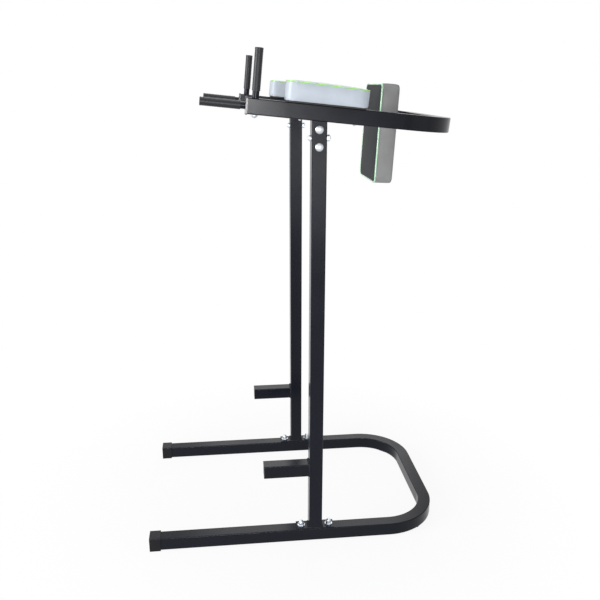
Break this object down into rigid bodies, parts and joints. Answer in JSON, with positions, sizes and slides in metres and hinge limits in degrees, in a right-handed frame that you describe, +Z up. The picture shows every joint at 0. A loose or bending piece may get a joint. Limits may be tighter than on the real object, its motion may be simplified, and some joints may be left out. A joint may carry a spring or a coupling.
{
  "type": "dip and vertical knee raise station",
  "caption": "Free-standing dip and vertical knee raise station: black square-tube frame, U-shaped base and arms, padded armrests and back rest, ribbed grips and low steps.",
  "frame": {"origin": "centre of the overall bounding box in plan, on the floor", "axes": "X runs along the base from the open front, which the user faces, to the closed rear; Y runs across from the user's left to the user's right; Z up"},
  "size_m": [1.028, 0.735, 1.6167],
  "materials": {
    "frame_coat": "satin black powder coat",
    "zinc_plate": "bright zinc plated",
    "moulded_plastic": "moulded, lightly grained",
    "foot_rubber": "matte",
    "grip_rubber": "matte ribbed",
    "light_vinyl": null,
    "dark_vinyl": null,
    "board_wood": "dark stained plywood"
  },
  "bodies": {
    "root": {"base_frame": "frame_coat", "left_front_cap": "moulded_plastic", "right_front_cap": "moulded_plastic", "left_rear_foot": "foot_rubber", "right_rear_foot": "foot_rubber", "left_upright": "frame_coat", "right_upright": "frame_coat", "left_foot_plate": "frame_coat", "right_foot_plate": "frame_coat", "left_step": "frame_coat", "right_step": "frame_coat", "left_step_plug": "moulded_plastic", "right_step_plug": "moulded_plastic", "base_studs": "zinc_plate", "base_washers": "zinc_plate", "base_dome_nuts": "zinc_plate", "left_arm_stub": "frame_coat", "right_arm_stub": "frame_coat", "stub_weld_nuts": "zinc_plate", "side_screws": "zinc_plate", "cross_bolts": "zinc_plate", "cross_bolt_washers": "zinc_plate", "cross_bolt_nuts": "zinc_plate", "arm_frame": "frame_coat", "left_arm_bush": "moulded_plastic", "right_arm_bush": "moulded_plastic", "left_dip_bar": "frame_coat", "right_dip_bar": "frame_coat", "left_dip_grip": "grip_rubber", "right_dip_grip": "grip_rubber", "left_post_handle": "frame_coat", "right_post_handle": "frame_coat", "left_post_grip": "grip_rubber", "right_post_grip": "grip_rubber", "post_inserts": "zinc_plate", "post_bolts": "zinc_plate", "post_washers": "zinc_plate", "left_arm_board": "board_wood", "right_arm_board": "board_wood", "left_arm_cushion": "light_vinyl", "right_arm_cushion": "light_vinyl", "arm_pad_screws": "zinc_plate", "arm_pad_tee_nuts": "zinc_plate", "back_cross_tube": "frame_coat", "back_bracket": "frame_coat", "back_board": "board_wood", "back_cushion": "dark_vinyl", "back_pad_screws": "zinc_plate", "back_pad_washers": "zinc_plate", "back_pad_tee_nuts": "zinc_plate"}
  },
  "joints": []
}
